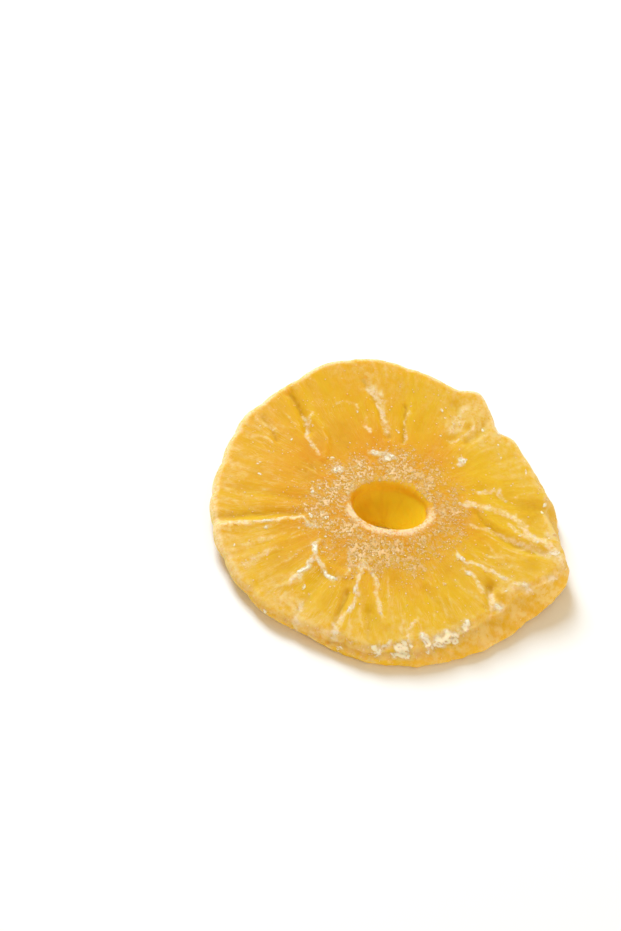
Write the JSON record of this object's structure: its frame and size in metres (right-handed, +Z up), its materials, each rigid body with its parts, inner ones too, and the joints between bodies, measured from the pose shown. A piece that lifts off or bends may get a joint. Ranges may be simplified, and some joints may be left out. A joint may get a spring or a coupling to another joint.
{
  "type": "pineapple ring",
  "caption": "Dried, candied pineapple ring: a warped golden slice with an oval core hole, a lobed cut side, creased fibres and sugar on its face.",
  "frame": {"origin": "middle of the bounding box's bottom, on the table under the hole", "axes": "+Z up out of the face that shows, +X along the long way of the oval hole, towards the pointed right end, +Y towards the curled back"},
  "size_m": [0.0782, 0.0736, 0.0126],
  "materials": {
    "flesh": "candied fruit flesh, translucent golden yellow, satin, with paler sugared veins and rim",
    "sugar": "fine white sugar grains and crusts on the flesh"
  },
  "bodies": {
    "root": {"pineapple_ring": "flesh"}
  },
  "joints": []
}
